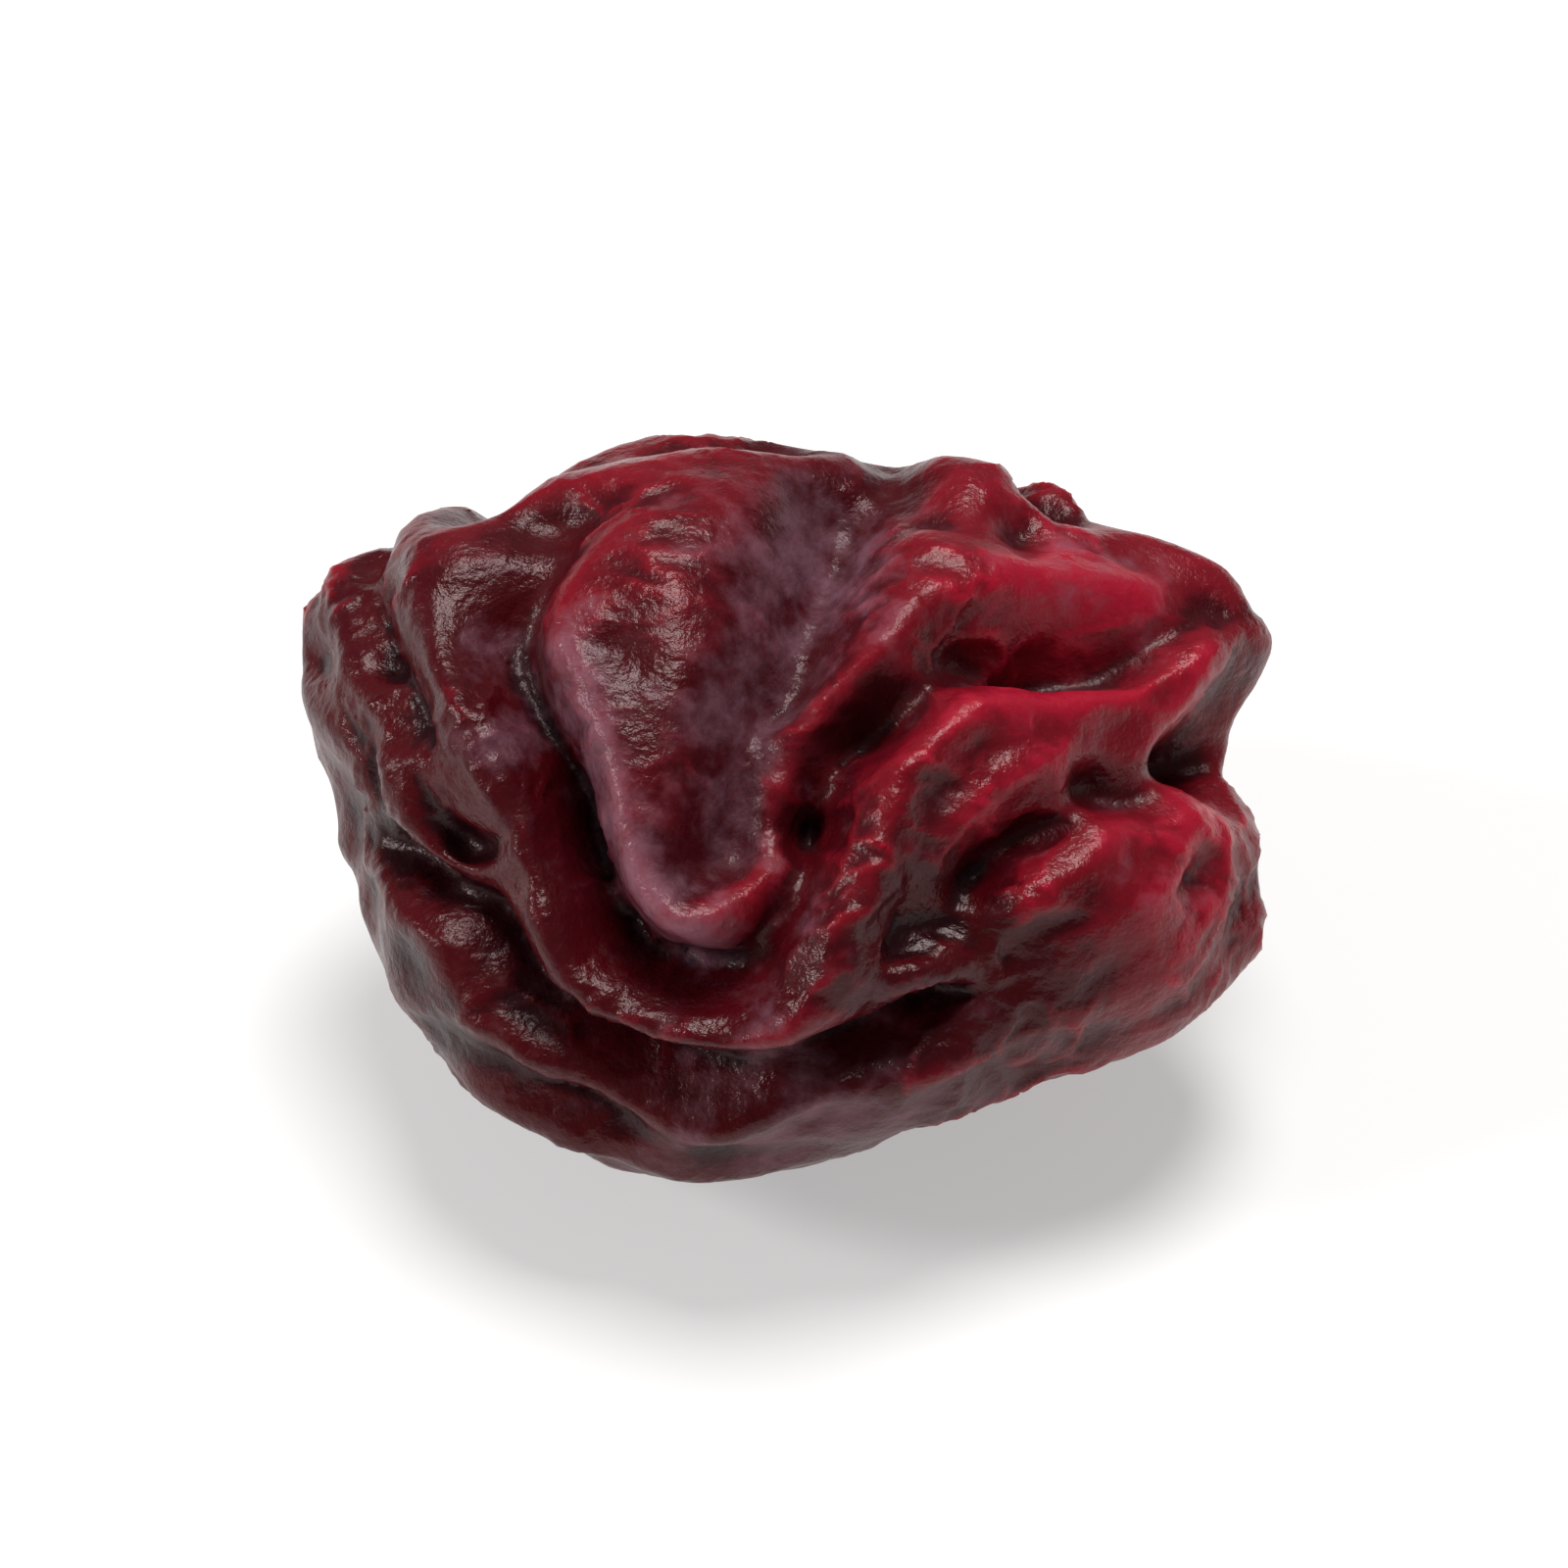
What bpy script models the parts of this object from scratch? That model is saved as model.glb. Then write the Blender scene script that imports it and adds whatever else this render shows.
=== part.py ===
"""One dried cranberry, whole, lying on the flat spot that it rests on.

Run it with blender --background --python part.py, or from Blender's text editor. Metres, +Z up, +X from
the stem end to the blossom end. The origin is on the surface that the berry lies on, under the middle of
its box.

The berry is one solid, since it grew as one. A plump body is made first, and then everything that drying
does to it is a height over that body: dishes where the skin caved in over the seed chambers, folds
between them, creases that run from end to end, and wrinkles.
"""

import math
import random

import bmesh
import bpy
import numpy as np
from mathutils import Vector, noise

MM = 0.001

# The finished berry's length, which sets the scale of everything. The other sizes here are in millimetres
# on a plump body of this length, width and height, which the berry is laid out on.
BERRY_LENGTH = 13.8
LENGTH = 14.0
WIDTH = 12.4
HEIGHT = 9.2

# The upper side is laid out as seen from the front, at this angle above the horizon, with each place as
# (across, up) from the middle
SEEN_FROM = math.radians(40)

# Detail of the skin before it is thinned out, and of the finished solid
SPHERE_DIVISIONS = 7
FINISHED_TRIANGLES = 9600

# Which of the patterns that shrivelling can leave: it sets off the random numbers and the noise
PATTERN = 6

# The spot that the berry rests on: its middle on the plump body, how far up the cut is from the lowest point,
# and how far round it the skin is calm
REST_SPOT = (0.3, -0.3, -HEIGHT / 2)
REST_CUT = 0.50
REST_RADIUS = 2.9

# Creases that run from end to end: how many, and the least and most of their depth and width
CREASES = 11
CREASE_DEPTH = (0.5, 1.3)
CREASE_WIDTH = (0.30, 0.46)

# Dishes where the skin caved in: how many, the least and most height of the cap that stood there, how soft
# the rim is, and how far the cap fell, where 1 is flat and 2 is its mirror image
DISHES = 24
DISH_CAP = (0.45, 1.15)
DISH_RIM = 0.10
DISH_FALL = 1.6

# Beside a fold the skin ripples: from crest to crest, and how far out that dies away
RIPPLE_SPACING = 1.3
RIPPLE_REACH = 1.8

# Wrinkles between the creases: how high the long ones and the fine ones are, and the level they stand on
LONG_WRINKLES = 1.5
FINE_WRINKLES = 0.8
WRINKLE_LEVEL = 0.95

# Ridges: the height that they level off at, how many times they are smoothed, and how far a point lies
# from the middle of its neighbours where the skin bends too sharply
RIDGE_CAP = 0.55
RIDGE_ROUNDING = 16
SHARP_BEND = 0.015

# The outline of the berry as seen, from its left end over the top
SEEN_OUTLINE = [
    (-7.0, 1.2), (-6.9, 2.8), (-6.3, 3.9), (-4.3, 4.9), (-2.3, 5.5), (1.4, 5.6), (3.6, 5.0),
    (5.1, 4.0), (7.0, 2.8), (6.7, 1.2), (6.4, 0.0), (6.8, -0.9), (6.3, -2.6), (5.0, -3.8),
    (2.2, -4.6), (0.6, -5.2), (-0.9, -5.5), (-2.8, -5.2), (-4.7, -4.5), (-5.8, -3.0), (-6.5, -0.4),
]

# Folds of the upper side: depth, width and path as seen
UPPER_FOLDS = {
    "round_the_tongue": (
        1.6, 0.40,
        [(6.5, 2.0), (3.7, 2.0), (2.0, 1.6), (1.0, 0.6), (0.5, -0.9), (-0.1, -2.1), (-0.9, -2.7),
         (-1.8, -2.4), (-2.5, -1.4), (-3.0, 0.1), (-3.3, 1.9), (-3.0, 3.6)],
    ),
    "left_shoulder": (0.65, 0.40, [(-4.9, 3.8), (-5.1, 1.9), (-4.9, -0.2), (-4.1, -1.9)]),
    "under_the_edge": (
        1.0, 0.38, [(-6.6, -0.2), (-4.9, -1.7), (-3.0, -3.2), (-1.2, -3.9), (0.9, -3.7), (2.8, -3.2)],
    ),
    "right_side": (0.8, 0.4, [(6.8, 0.0), (4.6, 0.0), (3.2, -0.6), (2.4, -1.6)]),
    "crown": (0.35, 0.4, [(0.9, 5.2), (1.7, 3.9), (3.2, 3.5), (5.2, 3.6)]),
}

# Folds that run over the top and down the back: depth, width and path, as shares of the way from the middle
# to an end and degrees round the berry's length from its back
BACK_FOLDS = {
    "over_the_left": (0.9, 0.40, [(-0.60, 84), (-0.50, 60), (-0.20, 42), (0.10, 24), (0.25, 2)]),
    "over_the_right": (0.8, 0.38, [(0.62, 76), (0.38, 60), (0.22, 44), (0.40, 20)]),
    "left_back": (0.7, 0.36, [(-0.85, 50), (-0.62, 34), (-0.50, 12), (-0.20, 0)]),
}

# How much of the all-round creasing is left out on the upper side and on the tongue, and how the upper side
# begins: how far in front of the middle, and how fast
UPPER_CALM = 0.70
TONGUE_CALM = 0.85
UPPER_START = 0.1
UPPER_RISE = 2.5

# The smooth, tongue-shaped lobe between the folds, and the hollows of the upper side: depth, width and path
TONGUE = [(0.3, 3.6), (-0.4, 1.6), (-1.0, -0.8), (-0.9, -1.8)]
UPPER_HOLLOWS = {
    "tongue_trough": (1.25, 0.75, [(0.9, 4.0), (0.1, 1.8), (-0.6, -0.7)]),
    "right_hollow": (0.7, 1.1, [(2.3, -1.6), (2.9, -2.3)]),
}

# The two ends, where the flower and the stalk stood: where they are as seen, the radius and depth of the
# basin there, and the lobes of its rim
BLOSSOM_END = ((6.4, 0.7), 1.2, 0.8, 4)
STEM_END = ((-6.6, 2.2), 0.8, 0.45, 3)

SKIN_RED = (0.14, 0.006, 0.016, 1.0)
SKIN_ROUGHNESS = 0.35


def viewing_axes():
    """Unit vectors across the view, up it, and towards the eye."""
    across = np.array([1.0, 0.0, 0.0])
    up = np.array([0.0, math.sin(SEEN_FROM), math.cos(SEEN_FROM)])
    towards = np.array([0.0, -math.cos(SEEN_FROM), math.sin(SEEN_FROM)])
    return across, up, towards


def half_sizes():
    return np.array([LENGTH, WIDTH, HEIGHT]) / 2


def on_the_body(seen):
    """The point of the plump body that shows at (across, up) in the view."""
    across, up, towards = viewing_axes()
    semi = half_sizes()
    flat = (seen[0] * across + seen[1] * up) / semi
    ray = towards / semi
    a, b, c = ray @ ray, 2 * flat @ ray, flat @ flat - 1
    root = max(b * b - 4 * a * c, 0.0)
    found = flat + (-b + math.sqrt(root)) / (2 * a) * ray
    return found / np.linalg.norm(found) * semi


def seen_path(seen):
    return smooth_path([on_the_body(place) for place in seen])


def smooth_path(corners, steps=6):
    """Points along a Catmull-Rom curve through the corners."""
    corners = np.array(corners)
    ends = np.vstack([2 * corners[0] - corners[1], corners, 2 * corners[-1] - corners[-2]])
    points = []
    for p0, p1, p2, p3 in zip(ends, ends[1:], ends[2:], ends[3:]):
        for t in np.linspace(0, 1, steps, endpoint=False):
            points.append(
                0.5 * (2 * p1 + (p2 - p0) * t + (2 * p0 - 5 * p1 + 4 * p2 - p3) * t**2
                       + (3 * p1 - p0 - 3 * p2 + p3) * t**3)
            )
    points.append(corners[-1])
    return np.array(points)


def nearest_on(path, points):
    """Each point's distance to the path, and its share of the way along."""
    best = np.full(len(points), np.inf)
    share = np.zeros(len(points))
    pieces = len(path) - 1
    for i, (start, end) in enumerate(zip(path, path[1:])):
        step = end - start
        t = np.clip((points - start) @ step / (step @ step), 0, 1)
        gap = np.linalg.norm(points - start - t[:, None] * step, axis=1)
        closer = gap < best
        best[closer] = gap[closer]
        share[closer] = (i + t[closer]) / pieces
    return best, share


def fold(body, path, depth, width):
    """Height of a sharp fold: a narrow valley between rounded lips, with ripples beside them."""
    gap, share = nearest_on(path, body)
    fade = np.clip(np.sin(np.pi * share) * 2.2, 0, 1) ** 0.7
    soft = 0.25 * width
    lip = 1.8 * width
    valley = np.exp(-(np.sqrt(gap**2 + soft**2) - soft) / width)
    lips = np.exp(-(((gap - lip) / (lip / 2)) ** 2))
    ripples = np.cos(2 * np.pi * (gap - lip) / RIPPLE_SPACING) * np.exp(-gap / RIPPLE_REACH)
    return fade * depth * (0.30 * lips - valley + 0.09 * ripples)


def hollow(body, path, depth, width):
    """Height of a broad, round-bottomed trough."""
    gap, _ = nearest_on(path, body)
    return -depth * np.exp(-((gap / width) ** 2))


def sampled(points, scale, offset):
    """Smooth noise read at each point, which is scaled and moved first."""
    return np.array([noise.noise(Vector(p)) for p in points * scale + offset])


def swirled(points, reach, scale, offset):
    """The points pushed about by smooth noise, so that patterns read there wander."""
    push = [sampled(points, scale, offset + PATTERN + apart) for apart in (0.0, 31.4, 62.8)]
    return points + reach * np.stack(push, axis=1)


def on_the_ring(x, around):
    """The point of the plump body a share x of the way from its middle to an end, turned round its length."""
    ring = math.sqrt(1 - x * x)
    return np.array([x, ring * math.cos(around), ring * math.sin(around)]) * half_sizes()


def end_to_end_creases(body, rng):
    """Creases that run along the berry, spread round it, each wandering a little. Half of them fork."""
    height = np.zeros(len(body))
    for i in range(CREASES):
        turn = 2 * math.pi * (i + rng.uniform(-0.3, 0.3)) / CREASES
        start = rng.uniform(-0.95, -0.35)
        end = start + rng.uniform(0.7, 1.3)
        wander = rng.uniform(-0.6, 0.6)
        depth, width = rng.uniform(*CREASE_DEPTH), rng.uniform(*CREASE_WIDTH)
        stops = [min(start + (end - start) * t, 0.95) for t in np.linspace(0, 1, 6)]
        turns = [turn + wander * t + rng.uniform(-0.10, 0.10) for t in np.linspace(0, 1, 6)]
        corners = [on_the_ring(x, around) for x, around in zip(stops, turns)]
        height += fold(body, smooth_path(corners), depth, width)
        if rng.random() < 0.5:
            side = rng.choice((-1, 1)) * rng.uniform(0.35, 0.6)
            fork = [on_the_ring(x, around + side * k / 3)
                    for k, (x, around) in enumerate(zip(stops[2:], turns[2:]))]
            height += fold(body, smooth_path(fork), 0.7 * depth, width)
    return height


def caved_in(body, rng):
    """Height where the skin caved in, in dishes spread evenly over the berry, with crests between them.

    For each dish a plane parts a cap from the plump body, and the skin falls towards the cap's mirror image.
    """
    deepest = np.zeros(len(body))
    golden_angle = math.pi * (3 - math.sqrt(5))
    for i in range(DISHES):
        x = 1 - 2 * (i + 0.5) / DISHES
        ring = math.sqrt(1 - x * x)
        around = i * golden_angle + rng.uniform(-0.3, 0.3)
        lengthwise = x + rng.uniform(-0.1, 0.1)
        facing = np.array([lengthwise, ring * math.cos(around), ring * math.sin(around)])
        facing /= np.linalg.norm(facing)
        plane = np.linalg.norm(half_sizes() * facing) - rng.uniform(*DISH_CAP)
        above = (body @ facing - plane) / DISH_RIM
        deepest = np.maximum(deepest, DISH_RIM * np.logaddexp(0, above))
    return -DISH_FALL * deepest


def wrinkles(body):
    """Rounded wrinkles parted by narrow creases: long ones along the berry, and finer ones all ways."""
    along = body * np.array([0.45, 1.0, 1.0])
    coarse = np.abs(sampled(swirled(along, 1.5, 0.4, 3.1), 0.50, 11.7))
    fine = np.abs(sampled(swirled(body, 1.0, 0.7, 8.3), 0.75, 5.2))
    calm = np.clip(0.75 + 1.1 * sampled(body, 0.33, 21.0), 0.2, 1)
    return calm * (LONG_WRINKLES * np.sqrt(coarse) + FINE_WRINKLES * np.sqrt(fine) - WRINKLE_LEVEL)


def puckered_end(body, centre, rim, depth, lobes):
    """Height of an end of the berry: a basin inside a lobed rim, with pleats that run out from it."""
    axis = centre / half_sizes() ** 2
    axis /= np.linalg.norm(axis)
    side = np.cross(axis, (0.0, 0.0, 1.0))
    side /= np.linalg.norm(side)
    out = body - centre
    gap = np.linalg.norm(out, axis=1)
    around = np.arctan2(out @ np.cross(axis, side), out @ side)
    basin = np.exp(-((gap / (0.65 * rim)) ** 2))
    lips = np.exp(-(((gap - 1.1 * rim) / (0.4 * rim)) ** 2)) * (0.75 + 0.35 * np.cos(lobes * around))
    pleats = np.cos((2 * lobes + 3) * around + 1.1 * np.sin(2 * around))
    pleats *= np.exp(-(((gap - 2.1 * rim) / (0.8 * rim)) ** 2))
    return depth * (0.4 * lips + 0.18 * pleats - basin)


def upper_calm(body):
    """How much of the all-round creasing shows: least on the tongue, all of it on the other sides."""
    upper_side = 1 / (1 + np.exp(-(body @ viewing_axes()[2] - UPPER_START) * UPPER_RISE))
    gap, _ = nearest_on(seen_path(TONGUE), body)
    return (1 - UPPER_CALM * upper_side) * (1 - TONGUE_CALM * np.exp(-((gap / 2.0) ** 4)))


def rest_calm(body):
    """0 where the berry rests and 1 well away from there, so that nothing folds across the flat spot."""
    from_spot = np.linalg.norm(body - np.array(REST_SPOT), axis=1)
    return 1 / (1 + np.exp(-(from_spot - REST_RADIUS) * 3.5))


def outward(directions):
    normal = directions / half_sizes()
    return normal / np.linalg.norm(normal, axis=1)[:, None]


def to_the_outline(points):
    """The points moved across the view so that a plump body's outline becomes the berry's."""
    across, up, _ = viewing_axes()
    semi = half_sizes()
    flat = np.stack([points @ across, points @ up], axis=1)
    angle = np.arctan2(flat[:, 1], flat[:, 0])
    tall = math.hypot(semi[1] * math.sin(SEEN_FROM), semi[2] * math.cos(SEEN_FROM))
    plump = 1 / np.hypot(np.cos(angle) / semi[0], np.sin(angle) / tall)
    outline = smooth_path(SEEN_OUTLINE + SEEN_OUTLINE[:1])
    bearing = np.arctan2(outline[:, 1], outline[:, 0])
    order = np.argsort(bearing)
    wanted = np.interp(angle, bearing[order], np.hypot(*outline.T)[order], period=2 * np.pi)
    share = np.clip(np.hypot(*flat.T) / plump, 0, 1)
    grow = 1 + (wanted / plump - 1) * share**2 * (3 - 2 * share)
    moved = (grow - 1)[:, None] * flat
    return points + moved[:, :1] * across + moved[:, 1:] * up


def shrivelled(directions):
    """The points of the dried berry for directions from its middle."""
    rng = random.Random(7 + PATTERN)
    body = directions * half_sizes()
    wandering = swirled(body, 0.5, 0.6, 40.0)
    height = end_to_end_creases(wandering, rng) + caved_in(wandering, rng)
    height = (height + wrinkles(body)) * upper_calm(body)
    for depth, width, seen in UPPER_FOLDS.values():
        height += fold(wandering, seen_path(seen), depth, width)
    for depth, width, places in BACK_FOLDS.values():
        path = smooth_path([on_the_ring(x, math.radians(turn)) for x, turn in places])
        height += fold(wandering, path, depth, width)
    for depth, width, seen in UPPER_HOLLOWS.values():
        height += hollow(body, seen_path(seen), depth, width)
    for seen, rim, depth, lobes in (BLOSSOM_END, STEM_END):
        height += puckered_end(body, on_the_body(seen), rim, depth, lobes)
    height = np.where(height > 0, RIDGE_CAP * np.tanh(height / RIDGE_CAP), height) * rest_calm(body)
    return to_the_outline(body + outward(directions) * height[:, None])


def ridges_rounded(points, edges, directions):
    """The points with every ridge and tip rounded off, while the bottoms of the creases stay sharp."""
    count = np.bincount(edges.ravel(), minlength=len(points))
    out = outward(directions)
    for _ in range(RIDGE_ROUNDING):
        total = np.zeros_like(points)
        np.add.at(total, edges[:, 0], points[edges[:, 1]])
        np.add.at(total, edges[:, 1], points[edges[:, 0]])
        move = total / count[:, None] - points
        inward = (move * out).sum(axis=1) < 0
        sharpness = np.clip(np.linalg.norm(move, axis=1) / SHARP_BEND, 0, 1)
        points = points + np.where(inward, 0.35 + 0.6 * sharpness, 0.06)[:, None] * move
    return points


def berry_mesh():
    """The berry before it is cut flat, its box centred over the origin and the cut's plane at height 0."""
    shape = bmesh.new()
    bmesh.ops.create_icosphere(shape, subdivisions=SPHERE_DIVISIONS, radius=1.0)
    directions = np.array([v.co for v in shape.verts])
    edges = np.array([[v.index for v in edge.verts] for edge in shape.edges])
    points = ridges_rounded(shrivelled(directions), edges, directions)
    points *= BERRY_LENGTH / np.ptp(points[:, 0])
    low, high = points.min(axis=0), points.max(axis=0)
    points -= [(low[0] + high[0]) / 2, (low[1] + high[1]) / 2, low[2] + REST_CUT]
    for vertex, point in zip(shape.verts, points * MM):
        vertex.co = point
    mesh = bpy.data.meshes.new("dried_cranberry")
    shape.to_mesh(mesh)
    shape.free()
    mesh.shade_smooth()
    return mesh


def rest_cutter():
    """A block whose top face is the plane that the berry is cut flat on."""
    size = 2 * LENGTH * MM
    bpy.ops.mesh.primitive_cube_add(size=size, location=(0, 0, -size / 2))
    block = bpy.context.object
    block.name = "rest_cutter"
    block.hide_render = True
    block.display_type = "WIRE"
    return block


def skin_material():
    material = bpy.data.materials.new("glossy_dried_skin")
    material.use_nodes = True
    shader = material.node_tree.nodes["Principled BSDF"]
    shader.inputs["Base Color"].default_value = SKIN_RED
    shader.inputs["Roughness"].default_value = SKIN_ROUGHNESS
    shader.inputs["Metallic"].default_value = 0.0
    return material


def whole_berry(cutter):
    mesh = berry_mesh()
    mesh.materials.append(skin_material())
    berry = bpy.data.objects.new("dried_cranberry", mesh)
    thin = berry.modifiers.new("thin_out", "DECIMATE")
    thin.ratio = FINISHED_TRIANGLES / len(mesh.polygons)
    flat = berry.modifiers.new("flat_spot", "BOOLEAN")
    flat.operation = "DIFFERENCE"
    flat.object = cutter
    return berry


def collected(name, obj):
    """Moves the object to a collection of its own."""
    collection = bpy.data.collections.new(name)
    bpy.context.scene.collection.children.link(collection)
    for other in list(obj.users_collection):
        other.objects.unlink(obj)
    collection.objects.link(obj)


def main():
    for obj in list(bpy.data.objects):
        bpy.data.objects.remove(obj)
    cutter = rest_cutter()
    collected("cutters", cutter)
    collected("dried cranberry", whole_berry(cutter))


main()
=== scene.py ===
"""Dresses the dried cranberry: a wrinkled, glossy skin over its solid, and a small white studio."""
import math

import bmesh
import bpy
import numpy as np
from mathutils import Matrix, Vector


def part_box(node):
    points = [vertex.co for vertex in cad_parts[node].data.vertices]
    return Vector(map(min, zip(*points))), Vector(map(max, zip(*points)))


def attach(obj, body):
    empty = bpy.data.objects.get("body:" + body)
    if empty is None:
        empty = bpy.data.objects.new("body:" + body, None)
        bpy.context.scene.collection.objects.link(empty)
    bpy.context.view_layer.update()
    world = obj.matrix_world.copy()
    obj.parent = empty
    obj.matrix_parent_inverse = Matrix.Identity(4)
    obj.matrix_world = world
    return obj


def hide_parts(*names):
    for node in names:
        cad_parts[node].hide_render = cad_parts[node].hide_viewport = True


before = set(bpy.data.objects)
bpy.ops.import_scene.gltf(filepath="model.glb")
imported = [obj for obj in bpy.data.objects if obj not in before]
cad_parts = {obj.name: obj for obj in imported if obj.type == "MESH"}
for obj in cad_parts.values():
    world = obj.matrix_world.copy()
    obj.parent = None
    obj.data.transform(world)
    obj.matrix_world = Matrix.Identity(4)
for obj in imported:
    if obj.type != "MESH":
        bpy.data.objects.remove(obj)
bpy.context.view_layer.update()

bl_info = {
    "name": "Dried Cranberry",
    "version": (1, 0, 0),
    "blender": (4, 5, 0),
    "location": "View3D > Sidebar > Dried Cranberry",
    "description": "Grows the shrivelled skin of a dried cranberry and lights it in a white studio",
    "category": "Object",
}

MM = 0.001
BERRY_LOW, BERRY_HIGH = (np.array(corner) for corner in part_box("dried_cranberry"))

# Patches of colour on the side that the camera sees. Each has its place across and up from the
# berry's middle, as it is seen, and its radius, all in millimetres, and then how much redder (+) or
# darker (-) the skin is there. The darker patches on the left, at the lower left and along the
# bottom are painted shade; the redder ones in the notches at the right end are painted light
# over their shade.
FLUSHES_AND_PAINTED_SHADE = [
    (4.4, 2.8, 1.6, 0.36), (3.4, 0.2, 1.9, 0.20), (5.2, -1.6, 1.5, 0.24), (-2.2, 4.4, 2.0, 0.24),
    (2.8, 4.2, 1.6, 0.08), (-0.9, -2.3, 0.9, 0.20), (-3.0, -1.6, 1.0, 0.12), (3.8, 1.6, 1.2, 0.12),
    (6.2, 0.5, 0.9, 0.45), (2.0, -2.2, 1.1, -0.36), (-5.5, 0.4, 2.0, -0.42),
    (-1.0, -4.6, 2.6, -0.28), (-4.6, -3.2, 2.2, -0.50),
]
# The left edge and the tip of the tongue-shaped lobe, where a highlight is painted along it:
# places across and up, as above
LOBE_EDGE = [
    (-2.9, 2.2), (-2.8, 1.6), (-2.6, 1.0), (-2.45, 0.5), (-2.3, 0.0), (-2.2, -0.5), (-2.0, -1.0),
    (-1.75, -1.5), (-1.35, -1.95), (-0.8, -2.15),
]
# Patches, placed as the flushes are, of a painted pale mauve sheen and painted highlights, and
# how much of it: the sheen on the lobe, the right lip and the bottom band, and the highlights
# on the lobe's left edge, the shoulder and the right end
PAINTED_SHEENS = [
    (0.4, 3.1, 1.5, 0.65), (-0.6, 1.0, 0.9, 0.50), (-0.7, -0.6, 0.7, 0.45), (0.4, -4.7, 2.4, 0.40),
    (-4.1, 1.9, 0.4, 0.55), (-3.8, 0.7, 0.45, 0.60), (5.2, -1.5, 0.6, 0.35), (4.2, 3.0, 1.3, 0.35),
    *((across, up, 0.5, 0.40) for across, up in LOBE_EDGE),
]
# Patches, placed in the same way, that have few crinkles, and the share of them that is missing:
# the tongue-shaped lobe, the band along the bottom and the right end
CALMS = [
    (0.0, 3.2, 1.7, 0.75), (-1.4, 0.8, 1.5, 0.65), (-1.0, -1.4, 1.0, 0.50),
    (-1.0, -4.8, 2.4, 0.60), (4.6, -0.2, 1.7, 0.60),
]
PATCH_FADE = 3.0 * MM  # the depth over which the patches fade out, towards the side that is hidden

# Rounds of smoothing. Each brings a point halfway to the mean of its neighbours.
STEP_ROUNDS = 3  # take out the steps between the cells
WRINKLE_ROUNDS = 12  # take out the wrinkles, and so measure them
FOLD_ROUNDS = 70  # take out the folds, and so measure them
FOLD_SHARE = 0.4  # of the crispness that the wrinkles get
LAST_ROUNDS = 1  # even out what the sharpening leaves
CREST_REACH = 10  # measures the crinkles, for their colour: crests painted lighter, hollows painted darker as shade
RIDGE_REACH = 120  # measures the ridges and creases, for theirs: ridges lighter, partly as painted light, creases painted darker as shade

# Sizes of the skin's patterns. Real pores are finer than 0.05 mm and are drawn coarser, to show.
BLOTCH = 3.2 * MM
MOTTLE = 0.6 * MM
CUTICLE_GRAIN, CUTICLE_DEPTH = 0.22 * MM, 0.06 * MM
PORE, PORE_DEPTH = 0.16 * MM, 0.012 * MM

# The lights: where each hangs and its width, in metres, and its share of the softbox's power
LIGHTS = {
    "softbox": ((0.12, 0.28, 1.38), 0.7, 1.0),
    "lamp": ((-1.00, -0.20, 0.62), 0.3, 0.36),
}
FLOOR_RADIUS = 3.0  # metres
ROOM_LIGHT = 0.15  # strength of the light that the white room itself gives
SENSOR_WIDTH = 36.0  # millimetres


def srgb(code):
    """The linear colour, with alpha, of an sRGB hex code."""
    values = [int(code[i:i + 2], 16) / 255 for i in (0, 2, 4)]
    linear = [v / 12.92 if v <= 0.04045 else ((v + 0.055) / 1.055) ** 2.4 for v in values]
    return (*linear, 1.0)


class SkinSettings(bpy.types.PropertyGroup):
    """Sizes and colours of the berry's skin"""

    grain: bpy.props.FloatProperty(
        name="Grain", description="Size of the cells that the skin is remade from",
        default=0.088 * MM, unit="LENGTH",
    )
    crispness: bpy.props.FloatProperty(
        name="Crispness", description="How sharply the folds break the surface",
        default=0.7, subtype="FACTOR",
    )
    crinkle_spacing: bpy.props.FloatProperty(
        name="Crinkle spacing", description="From one crinkle to the next",
        default=0.90 * MM, unit="LENGTH",
    )
    crinkle_height: bpy.props.FloatProperty(
        name="Crinkle height", description="How far the crinkles stand up",
        default=0.10 * MM, unit="LENGTH",
    )
    crinkle_seed: bpy.props.IntProperty(
        name="Crinkle seed", description="Which pattern of crinkles the skin has", default=4,
    )
    blush_colour: bpy.props.FloatVectorProperty(
        name="Blush", description="Skin that light shines through",
        default=srgb("A0142C"), size=4, subtype="COLOR",
    )
    # The colour of the painted pale mauve sheen and highlights
    painted_sheen_colour: bpy.props.FloatVectorProperty(
        name="Bloom", description="The berry's own wax, where it hasn't rubbed off",
        default=srgb("825A68"), size=4, subtype="COLOR",
    )
    # Reached on ridge tops, which the ramp paints lighter: partly thinner skin, partly painted
    # light
    ridge_colour: bpy.props.FloatVectorProperty(
        name="Ridges", description="Skin stretched thin over the ridges",
        default=srgb("740C1B"), size=4, subtype="COLOR",
    )
    body_colour: bpy.props.FloatVectorProperty(
        name="Body", description="Skin between the ridges and the creases",
        default=srgb("40050E"), size=4, subtype="COLOR",
    )
    crease_colour: bpy.props.FloatVectorProperty(
        name="Creases", description="Skin gathered in the creases",
        default=srgb("46040B"), size=4, subtype="COLOR",
    )
    # The ramp's darkest colour: painted shade, in the creases and in the darker patches on the left
    # and lower side
    painted_shade_colour: bpy.props.FloatVectorProperty(
        name="Deep", description="Thick skin towards the stem end",
        default=srgb("240309"), size=4, subtype="COLOR",
    )


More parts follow.
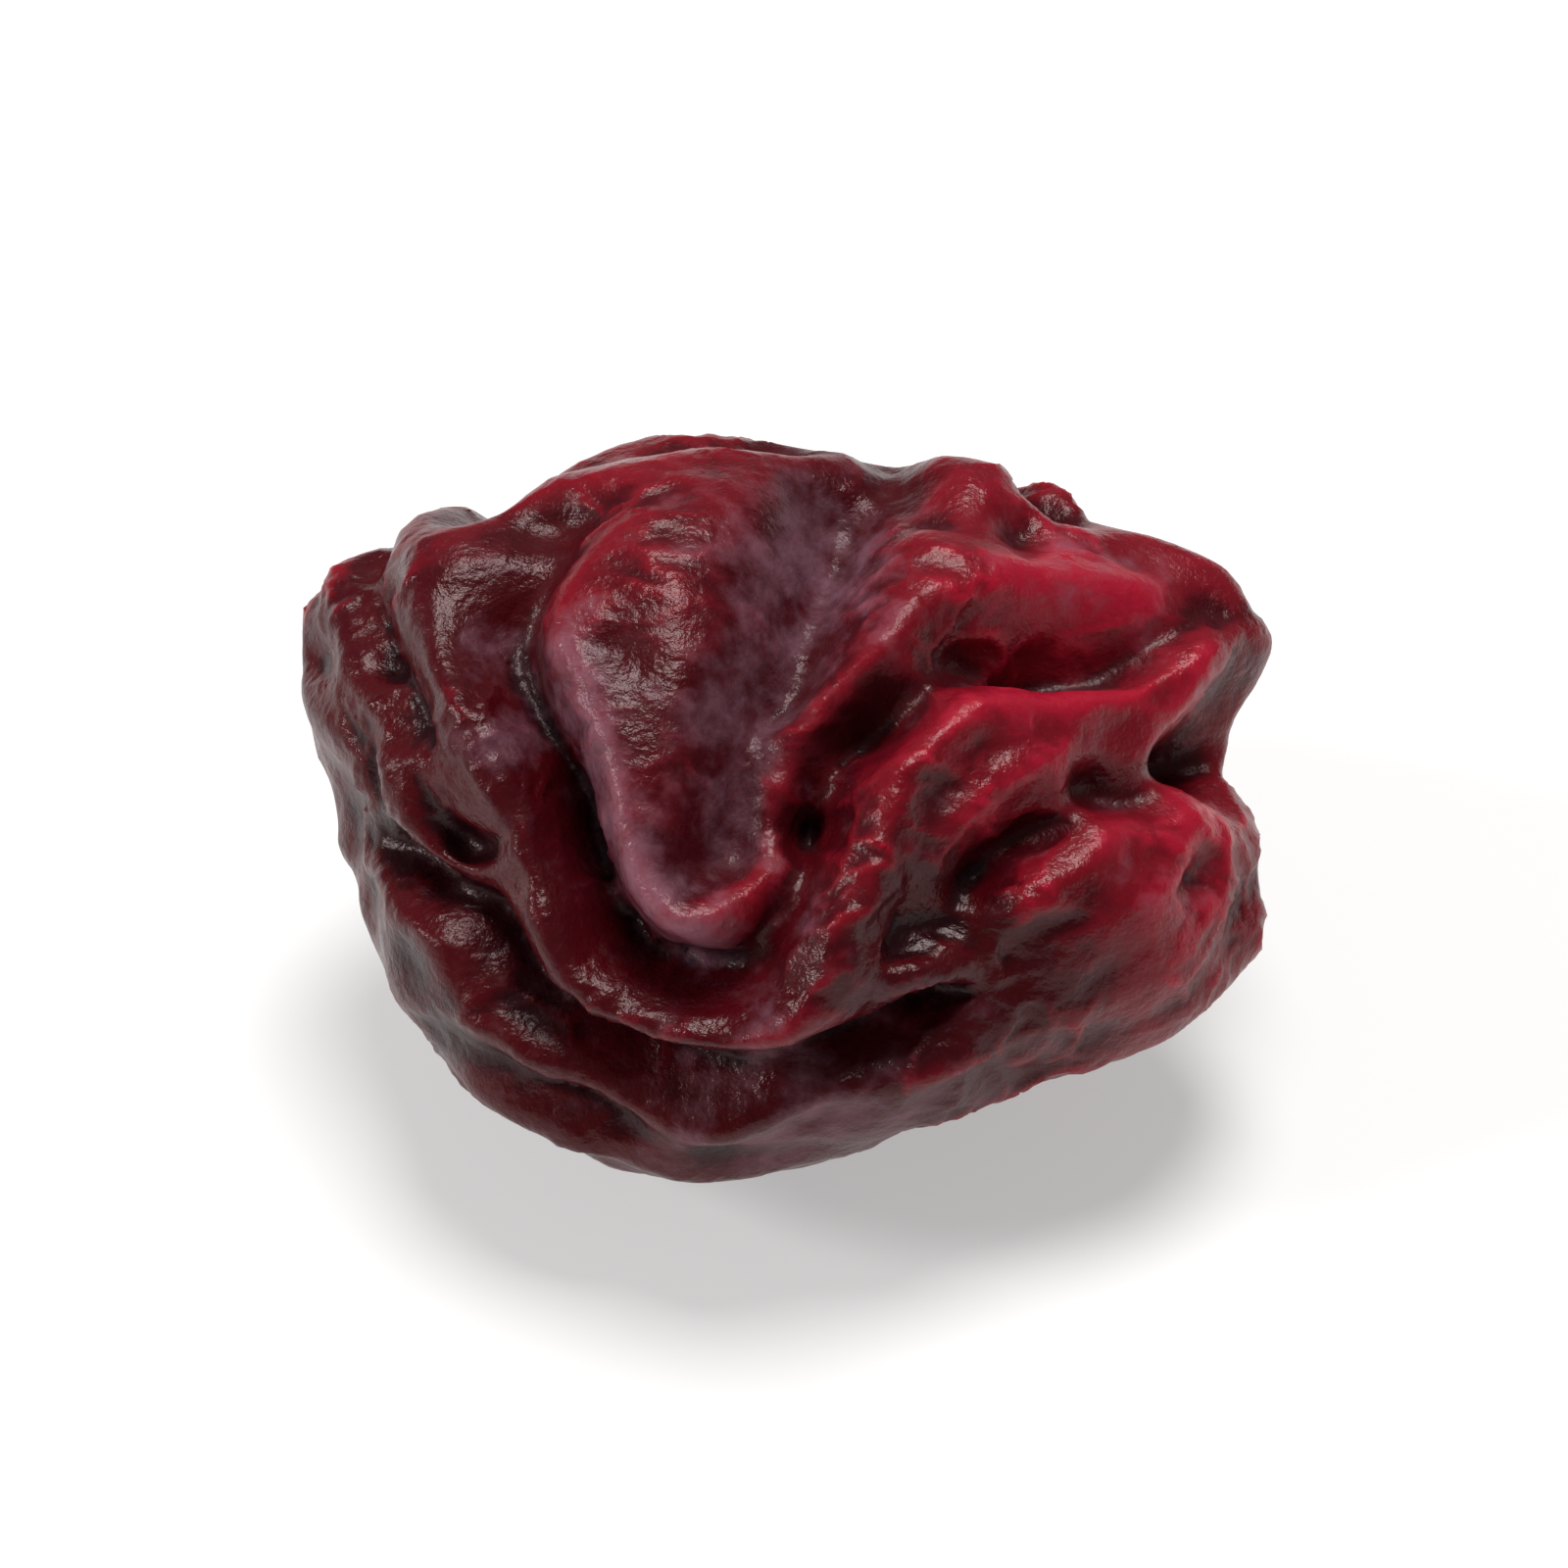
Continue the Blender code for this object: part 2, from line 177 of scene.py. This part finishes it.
class StudioSettings(bpy.types.PropertyGroup):
    """The floor, the light and the camera"""

    elevation: bpy.props.FloatProperty(
        name="Elevation", description="How far the camera looks down",
        default=math.radians(40), subtype="ANGLE",
    )
    focal_length: bpy.props.FloatProperty(
        name="Focal length", description="Of the camera, in millimetres", default=100.0,
    )
    share: bpy.props.FloatProperty(
        name="Share", description="How much of the picture's width the berry takes",
        default=0.62, subtype="FACTOR",
    )
    softbox_power: bpy.props.FloatProperty(
        name="Softbox", description="Power of the broad light over the berry",
        default=19.0, unit="POWER",
    )
    floor_colour: bpy.props.FloatVectorProperty(
        name="Floor", description="Matt sheet under the berry",
        default=srgb("C4C3C2"), size=4, subtype="COLOR",
    )
    floor_glow: bpy.props.FloatProperty(
        name="Floor glow", description="How much light comes up through the sheet", default=0.42,
    )


class Neighbours:
    """Averages over the neighbours of each vertex of a mesh, by its edges."""

    def __init__(self, mesh):
        ends = np.empty(2 * len(mesh.edges), dtype=np.int64)
        mesh.edges.foreach_get("vertices", ends)
        a, b = ends.reshape(-1, 2).T
        self.here = np.concatenate([a, b])
        self.there = np.concatenate([b, a])
        self.count = np.bincount(self.here, minlength=len(mesh.vertices))

    def mean(self, values):
        """Each vertex's mean over its neighbours, of one value or of a row of them."""
        if values.ndim == 1:
            return np.bincount(self.here, values[self.there], len(self.count)) / self.count
        return np.stack([self.mean(column) for column in values.T], axis=1)

    def smoothed(self, values, rounds):
        for _ in range(rounds):
            values = 0.5 * (values + self.mean(values))
        return values


def points_of(mesh):
    points = np.empty(3 * len(mesh.vertices))
    mesh.vertices.foreach_get("co", points)
    return points.reshape(-1, 3)


def normals_of(mesh):
    normals = np.empty(3 * len(mesh.vertices))
    mesh.vertex_normals.foreach_get("vector", normals)
    return normals.reshape(-1, 3)


def move_to(mesh, points):
    mesh.vertices.foreach_set("co", points.ravel())
    mesh.update()


def store(mesh, name, values):
    attribute = mesh.attributes.new(name, "FLOAT", "POINT")
    attribute.data.foreach_set("value", values.astype(np.float32))


def cad_copy(node, name):
    """A new object with the node's surface as one joined mesh."""
    shape = bmesh.new()
    shape.from_mesh(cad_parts[node].data)
    bmesh.ops.remove_doubles(shape, verts=shape.verts, dist=1e-7)
    mesh = bpy.data.meshes.new(name)
    shape.to_mesh(mesh)
    shape.free()
    piece = bpy.data.objects.new(name, mesh)
    bpy.context.scene.collection.objects.link(piece)
    return piece


def made_plain(piece):
    """Swaps the piece's mesh for what its modifiers make of it, and removes them."""
    bpy.context.view_layer.update()
    graph = bpy.context.evaluated_depsgraph_get()
    mesh = bpy.data.meshes.new_from_object(piece.evaluated_get(graph))
    piece.modifiers.clear()
    piece.data = mesh


def regrained(piece, grain):
    """Remakes the surface from even cells, rounded first so that the gloss shows no facet."""
    soft = piece.modifiers.new("rounding", "SUBSURF")
    soft.levels = soft.render_levels = 1
    cells = piece.modifiers.new("grain", "REMESH")
    cells.mode = "VOXEL"
    cells.voxel_size = grain
    made_plain(piece)


def sharpened(around, points, crispness):
    """The surface without the cells' steps, its wrinkles and folds made as crisp as before."""
    points = around.smoothed(points, STEP_ROUNDS)
    for rounds, share in ((WRINKLE_ROUNDS, 1.0), (FOLD_ROUNDS, FOLD_SHARE)):
        points = points + share * crispness * (points - around.smoothed(points, rounds))
    return around.smoothed(points, LAST_ROUNDS)


def patched(points, patches, elevation):
    """The sum of the patches at each point, laid on the side that is seen at that elevation."""
    across, up, towards = (
        np.array([1.0, 0.0, 0.0]),
        np.array([0.0, math.sin(elevation), math.cos(elevation)]),
        np.array([0.0, -math.cos(elevation), math.sin(elevation)]),
    )
    out = points - (BERRY_LOW + BERRY_HIGH) / 2
    seen = np.stack([out @ across, out @ up], axis=1) / MM
    facing = np.clip(0.5 + out @ towards / PATCH_FADE, 0, 1)
    total = np.zeros(len(points))
    for x, y, radius, amount in patches:
        total += amount * np.exp(-(((seen - (x, y)) ** 2).sum(axis=1) / radius**2))
    return facing * total


def relief(around, points, normals, rounds):
    """How far each point stands above (+) or below (-) the surface smoothed, in millimetres."""
    return ((points - around.smoothed(points, rounds)) * normals).sum(axis=1) / MM


class CRANBERRY_OT_skin(bpy.types.Operator):
    """Grows the berry's skin: even cells over the solid, with fine crinkles"""

    bl_idname = "cranberry.skin"
    bl_label = "Grow the skin"

    def execute(self, context):
        settings = context.scene.cranberry_skin
        elevation = context.scene.cranberry_studio.elevation
        skin = cad_copy("dried_cranberry", "cranberry_skin")
        regrained(skin, settings.grain)
        around = Neighbours(skin.data)
        points = sharpened(around, points_of(skin.data), settings.crispness)
        move_to(skin.data, points)
        store(skin.data, "calm", np.clip(patched(points, CALMS, elevation), 0, 1))
        crinkle(skin, settings, dried_skin(settings))
        mesh = skin.data
        points = points_of(mesh)
        points[:, 2] = np.maximum(points[:, 2], BERRY_LOW[2])
        move_to(mesh, points)
        normals = normals_of(mesh)
        store(mesh, "ridge", relief(around, points, normals, RIDGE_REACH))
        store(mesh, "wrinkle", relief(around, points, normals, CREST_REACH))
        # Redder and darker patches: painted shade on the left and lower side, painted light in the
        # notches
        store(mesh, "flush_and_painted_shade", patched(points, FLUSHES_AND_PAINTED_SHADE, elevation))
        # Painted sheen and highlights
        store(mesh, "painted_sheen", patched(points, PAINTED_SHEENS, elevation))
        mesh.shade_smooth()
        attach(skin, "root")
        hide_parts("dried_cranberry")
        return {"FINISHED"}


def added(tree, kind, settings=None, **links):
    """A new node with its settings, each of its inputs set to a value or linked to a socket."""
    node = tree.nodes.new(kind)
    for name, value in (settings or {}).items():
        setattr(node, name, value)
    for name, value in links.items():
        by_place = name[0] == "i" and name[1:].isdigit()
        socket = node.inputs[int(name[1:]) if by_place else name.replace("_", " ")]
        if isinstance(value, bpy.types.NodeSocket):
            tree.links.new(value, socket)
        else:
            socket.default_value = value
    return node


def crinkle_tree():
    """Nodes that raise a surface into crinkles: thin crests round shallow dimples, in patches."""
    tree = bpy.data.node_groups.new("crinkled_skin", "GeometryNodeTree")
    face = tree.interface
    face.new_socket("Geometry", in_out="INPUT", socket_type="NodeSocketGeometry")
    for name in ("Spacing", "Height", "Crest Width", "Stretch"):
        face.new_socket(name, in_out="INPUT", socket_type="NodeSocketFloat")
    face.new_socket("Seed", in_out="INPUT", socket_type="NodeSocketInt")
    face.new_socket("Material", in_out="INPUT", socket_type="NodeSocketMaterial")
    face.new_socket("Geometry", in_out="OUTPUT", socket_type="NodeSocketGeometry")
    given = added(tree, "NodeGroupInput").outputs

    # Places measured in crinkle spacings, and drawn out along the berry
    place = added(tree, "GeometryNodeInputPosition").outputs["Position"]
    density = added(
        tree, "ShaderNodeMath", {"operation": "DIVIDE"}, i0=1.0, i1=given["Spacing"]
    ).outputs[0]
    scaled = added(
        tree, "ShaderNodeVectorMath", {"operation": "SCALE"}, Vector=place, Scale=density
    ).outputs["Vector"]
    squeeze = added(
        tree, "ShaderNodeMath", {"operation": "DIVIDE"}, i0=1.0, i1=given["Stretch"]
    ).outputs[0]
    shares = added(tree, "ShaderNodeCombineXYZ", X=squeeze, Y=1.0, Z=1.0).outputs["Vector"]
    along = added(
        tree, "ShaderNodeVectorMath", {"operation": "MULTIPLY"}, i0=scaled, i1=shares
    ).outputs["Vector"]

    # They drift, so that no crest runs straight
    drift = added(
        tree, "ShaderNodeTexNoise", {"noise_dimensions": "4D"},
        Vector=along, W=given["Seed"], Scale=0.7, Detail=3.0,
    ).outputs["Color"]
    wander = added(
        tree, "ShaderNodeVectorMath", {"operation": "MULTIPLY_ADD"},
        i0=drift, i1=(1.6, 1.6, 1.6), i2=along,
    ).outputs["Vector"]

    # Crests where cells meet, and finer pleats between them
    cells = added(
        tree, "ShaderNodeTexVoronoi", {"voronoi_dimensions": "4D", "feature": "DISTANCE_TO_EDGE"},
        Vector=wander, W=given["Seed"], Scale=1.0,
    ).outputs["Distance"]
    inwards = added(
        tree, "ShaderNodeMath", {"operation": "MULTIPLY"}, i0=cells, i1=-1.0
    ).outputs[0]
    falling = added(
        tree, "ShaderNodeMath", {"operation": "DIVIDE"}, i0=inwards, i1=given["Crest Width"]
    ).outputs[0]
    crest = added(tree, "ShaderNodeMath", {"operation": "EXPONENT"}, i0=falling).outputs[0]
    pleats = added(
        tree, "ShaderNodeTexNoise",
        {"noise_dimensions": "4D", "noise_type": "RIDGED_MULTIFRACTAL"},
        Vector=wander, W=given["Seed"], Scale=1.5, Detail=2.0, Roughness=0.6, Offset=0.8, Gain=1.5,
    ).outputs["Fac"]
    both = added(
        tree, "ShaderNodeMath", {"operation": "MULTIPLY_ADD"}, i0=pleats, i1=0.5, i2=crest
    ).outputs[0]

    # Broad patches are more crinkled than others, and the calm ones less
    patch = added(
        tree, "ShaderNodeTexNoise", {"noise_dimensions": "4D"},
        Vector=scaled, W=given["Seed"], Scale=0.35, Detail=1.0,
    ).outputs["Fac"]
    shown = added(
        tree, "ShaderNodeMapRange", {"interpolation_type": "SMOOTHSTEP"},
        Value=patch, From_Min=0.38, From_Max=0.62, To_Min=0.15, To_Max=1.0,
    ).outputs["Result"]
    calm = added(
        tree, "GeometryNodeInputNamedAttribute", {"data_type": "FLOAT"}, Name="calm"
    ).outputs["Attribute"]
    lively = added(
        tree, "ShaderNodeMath", {"operation": "SUBTRACT"}, i0=1.0, i1=calm
    ).outputs[0]
    share = added(
        tree, "ShaderNodeMath", {"operation": "MULTIPLY"}, i0=shown, i1=lively
    ).outputs[0]
    raised = added(
        tree, "ShaderNodeMath", {"operation": "MULTIPLY_ADD"}, i0=share, i1=both, i2=-0.6
    ).outputs[0]
    height = added(
        tree, "ShaderNodeMath", {"operation": "MULTIPLY"}, i0=raised, i1=given["Height"]
    ).outputs[0]
    normal = added(tree, "GeometryNodeInputNormal").outputs["Normal"]
    offset = added(
        tree, "ShaderNodeVectorMath", {"operation": "SCALE"}, i0=normal, Scale=height
    ).outputs["Vector"]

    moved = added(tree, "GeometryNodeSetPosition", Geometry=given["Geometry"], Offset=offset)
    real = added(tree, "GeometryNodeRealizeInstances", Geometry=moved.outputs["Geometry"])
    coloured = added(
        tree, "GeometryNodeSetMaterial",
        Geometry=real.outputs["Geometry"], Material=given["Material"],
    )
    added(tree, "NodeGroupOutput", Geometry=coloured.outputs["Geometry"])
    return tree


def crinkle(piece, settings, material):
    """Raises the piece's surface into fine crinkles, and gives it the material."""
    tree = crinkle_tree()
    modifier = piece.modifiers.new("crinkled_skin", "NODES")
    modifier.node_group = tree
    values = {
        "Spacing": settings.crinkle_spacing, "Height": settings.crinkle_height,
        "Crest Width": 0.12,  # in spacings
        "Stretch": 1.5,  # how much longer the crinkles are along the berry than across it
        "Seed": settings.crinkle_seed, "Material": material,
    }
    for socket in tree.interface.items_tree:
        if socket.in_out == "INPUT" and socket.name in values:
            modifier[socket.identifier] = values[socket.name]
    made_plain(piece)


def dried_skin(settings):
    """Sugar-infused cranberry skin, air dried: a waxy cuticle over red flesh, and a film of oil.

    The eye sees a deep crimson that light goes a little way into, and a sharp gloss where the film
    lies smooth. Ridges are painted lighter, partly for their thinner skin and partly as painted
    light, and creases are painted darker as shade, which with the real shade makes them almost
    black; a pale mauve sheen and highlights are painted on too.
    """
    material = bpy.data.materials.new("dried_cranberry_skin")
    material.use_nodes = True
    tree = material.node_tree
    tree.nodes.clear()
    place = added(tree, "ShaderNodeTexCoord").outputs["Object"]
    ridge = added(tree, "ShaderNodeAttribute", {"attribute_name": "ridge"}).outputs["Fac"]
    wrinkle = added(tree, "ShaderNodeAttribute", {"attribute_name": "wrinkle"}).outputs["Fac"]
    # Redder and darker patches, with painted shade on the left and lower side and painted light in
    # the notches
    flush_and_painted_shade = added(tree, "ShaderNodeAttribute", {"attribute_name": "flush_and_painted_shade"}).outputs["Fac"]
    # Where the painted sheen and highlights lie
    painted_sheen = added(tree, "ShaderNodeAttribute", {"attribute_name": "painted_sheen"}).outputs["Fac"]
    blotches = added(
        tree, "ShaderNodeTexNoise", Vector=place, Scale=1 / BLOTCH, Detail=4.0, Roughness=0.55
    ).outputs["Fac"]
    mottle = added(
        tree, "ShaderNodeTexNoise", Vector=place, Scale=1 / MOTTLE, Detail=5.0, Roughness=0.6
    ).outputs["Fac"]
    # Lighter on ridges and darker in creases: painted light and shade, with some of the ridges'
    # glow from their thinner skin
    level = added(
        tree, "ShaderNodeMapRange", {"interpolation_type": "SMOOTHSTEP"},
        Value=ridge, From_Min=-0.55, From_Max=0.40,
    ).outputs["Result"]

    # How light and red the skin is, from 0 to 1: its own blotches, mottling and redder patches,
    # with painted shade in the creases, the crinkle hollows and the darker patches, and light
    # painted on the ridges and crinkle crests, partly for their thinner skin
    shade = added(tree, "ShaderNodeMath", {"operation": "SUBTRACT"}, i0=flush_and_painted_shade, i1=0.38).outputs[0]
    for part, share in ((mottle, 0.28), (blotches, 0.72), (level, 0.60), (wrinkle, 3.2)):
        shade = added(
            tree, "ShaderNodeMath", {"operation": "MULTIPLY_ADD"}, i0=part, i1=share, i2=shade
        ).outputs[0]
    ramp = added(tree, "ShaderNodeValToRGB", Fac=shade)
    ramp.color_ramp.interpolation = "EASE"
    marks = ramp.color_ramp.elements
    # The ramp runs from painted shade at 0 to the brightest red at 1
    marks[0].color, marks[1].color = settings.painted_shade_colour, settings.blush_colour
    marks.new(0.22).color = settings.crease_colour
    marks.new(0.50).color = settings.body_colour
    marks.new(0.77).color = settings.ridge_colour

    # The mottling breaks the painted sheen up into patches, and the next lines give how much of it
    # shows
    broken = added(
        tree, "ShaderNodeMath", {"operation": "MULTIPLY_ADD"}, i0=mottle, i1=1.6, i2=-0.80
    ).outputs[0]
    waxy = added(tree, "ShaderNodeMath", {"operation": "ADD"}, i0=painted_sheen, i1=broken).outputs[0]
    painted_sheen_amount = added(
        tree, "ShaderNodeMapRange", {"interpolation_type": "SMOOTHSTEP"},
        Value=waxy, From_Min=0.15, From_Max=0.95, To_Max=0.75,
    ).outputs["Result"]
    base = added(
        tree, "ShaderNodeMix", {"data_type": "RGBA"},
        Factor=painted_sheen_amount, i6=ramp.outputs["Color"], i7=settings.painted_sheen_colour,
    ).outputs[2]

    # The film of oil is uneven, thin in the creases, and dull under the painted sheen
    film = added(
        tree, "ShaderNodeMapRange", Value=mottle,
        From_Min=0.35, From_Max=0.65, To_Min=0.27, To_Max=0.44,
    ).outputs["Result"]
    crease = added(
        tree, "ShaderNodeMapRange", Value=level,
        From_Min=0.0, From_Max=0.5, To_Min=0.22, To_Max=0.0,
    ).outputs["Result"]
    worn = added(tree, "ShaderNodeMath", {"operation": "ADD"}, i0=film, i1=crease).outputs[0]
    rough = added(
        tree, "ShaderNodeMath", {"operation": "MULTIPLY_ADD"}, i0=painted_sheen_amount, i1=0.12, i2=worn
    ).outputs[0]

    pores = added(
        tree, "ShaderNodeTexVoronoi", {"feature": "SMOOTH_F1"}, Vector=place, Scale=1 / PORE
    ).outputs["Distance"]
    cuticle = added(
        tree, "ShaderNodeTexNoise",
        Vector=place, Scale=1 / CUTICLE_GRAIN, Detail=4.0, Roughness=0.6,
    ).outputs["Fac"]
    pitted = added(
        tree, "ShaderNodeBump", Strength=0.5, Distance=PORE_DEPTH, Height=pores
    ).outputs["Normal"]
    bump = added(
        tree, "ShaderNodeBump",
        Strength=0.7, Distance=CUTICLE_DEPTH, Height=cuticle, Normal=pitted,
    ).outputs["Normal"]

    shader = added(
        tree, "ShaderNodeBsdfPrincipled", Base_Color=base, Roughness=rough, Normal=bump,
        IOR=1.46, Specular_IOR_Level=0.24, Specular_Tint=srgb("F4C8C6"),
        Subsurface_Weight=0.35, Subsurface_Radius=(1.0, 0.08, 0.05), Subsurface_Scale=0.8 * MM,
        Coat_Weight=0.20, Coat_Roughness=0.10, Coat_IOR=1.47, Coat_Normal=bump,
    )
    out = added(tree, "ShaderNodeOutputMaterial", Surface=shader.outputs["BSDF"])
    out.is_active_output = True
    return material


def light_table(colour, glow):
    """Opal acrylic with a sanded face, lit a little from below: matt, with pale shadows."""
    material = bpy.data.materials.new("sanded_opal_acrylic")
    material.use_nodes = True
    shader = material.node_tree.nodes["Principled BSDF"]
    shader.inputs["Base Color"].default_value = colour
    shader.inputs["Roughness"].default_value = 0.9
    shader.inputs["Specular IOR Level"].default_value = 0.2
    shader.inputs["Emission Color"].default_value = srgb("FFFFFF")
    shader.inputs["Emission Strength"].default_value = glow
    return material


def area_light(name, place, target, size, power):
    light = bpy.data.lights.new(name, "AREA")
    light.shape = "DISK"
    light.size = size
    light.energy = power
    lamp = bpy.data.objects.new(name, light)
    lamp.location = place
    lamp.rotation_mode = "QUATERNION"
    lamp.rotation_quaternion = (Vector(place) - target).to_track_quat("Z", "Y")
    bpy.context.scene.collection.objects.link(lamp)


class CRANBERRY_OT_studio(bpy.types.Operator):
    """Lays the floor, hangs the lights and sets up the camera"""

    bl_idname = "cranberry.studio"
    bl_label = "Set up the studio"

    def execute(self, context):
        settings = context.scene.cranberry_studio
        middle = Vector((BERRY_LOW + BERRY_HIGH) / 2)
        self.floor(settings)
        for name, (place, size, share) in LIGHTS.items():
            area_light(name, place, middle, size, share * settings.softbox_power)
        self.world(context)
        self.camera(context, settings, middle)
        return {"FINISHED"}

    def floor(self, settings):
        bpy.ops.mesh.primitive_circle_add(
            vertices=64, radius=FLOOR_RADIUS, fill_type="NGON", location=(0, 0, BERRY_LOW[2])
        )
        floor = bpy.context.object
        floor.name = "floor"
        floor.data.materials.append(light_table(settings.floor_colour, settings.floor_glow))

    def world(self, context):
        world = bpy.data.worlds.new("white_room")
        world.use_nodes = True
        sky = world.node_tree.nodes["Background"]
        sky.inputs["Color"].default_value = srgb("FFFFFF")
        sky.inputs["Strength"].default_value = ROOM_LIGHT
        context.scene.world = world
        context.scene.view_settings.view_transform = "Standard"

    def camera(self, context, settings, middle):
        lens = bpy.data.cameras.new("camera")
        lens.lens = settings.focal_length
        lens.sensor_width = SENSOR_WIDTH
        lens.clip_start = 1 * MM
        width = float(BERRY_HIGH[0] - BERRY_LOW[0]) / settings.share
        distance = width * settings.focal_length / SENSOR_WIDTH
        back = Vector((0, -math.cos(settings.elevation), math.sin(settings.elevation)))
        camera = bpy.data.objects.new("camera", lens)
        camera.location = middle + distance * back
        camera.rotation_mode = "QUATERNION"
        camera.rotation_quaternion = back.to_track_quat("Z", "Y")
        context.scene.collection.objects.link(camera)
        context.scene.camera = camera


class CRANBERRY_PT_panel(bpy.types.Panel):
    """Sizes, colours and steps of the dried cranberry"""

    bl_idname = "CRANBERRY_PT_panel"
    bl_label = "Dried Cranberry"
    bl_space_type = "VIEW_3D"
    bl_region_type = "UI"
    bl_category = "Dried Cranberry"

    def draw(self, context):
        for settings in (context.scene.cranberry_skin, context.scene.cranberry_studio):
            column = self.layout.column()
            for name in settings.__annotations__:
                column.prop(settings, name)
        for step in STEPS:
            self.layout.operator(step.bl_idname)


STEPS = (CRANBERRY_OT_skin, CRANBERRY_OT_studio)
CLASSES = (SkinSettings, StudioSettings, *STEPS, CRANBERRY_PT_panel)


def register():
    for each in CLASSES:
        bpy.utils.register_class(each)
    bpy.types.Scene.cranberry_skin = bpy.props.PointerProperty(type=SkinSettings)
    bpy.types.Scene.cranberry_studio = bpy.props.PointerProperty(type=StudioSettings)


def unregister():
    del bpy.types.Scene.cranberry_studio
    del bpy.types.Scene.cranberry_skin
    for each in reversed(CLASSES):
        bpy.utils.unregister_class(each)


def main():
    register()
    bpy.ops.cranberry.skin()
    bpy.ops.cranberry.studio()


if __name__ == "__main__":
    main()
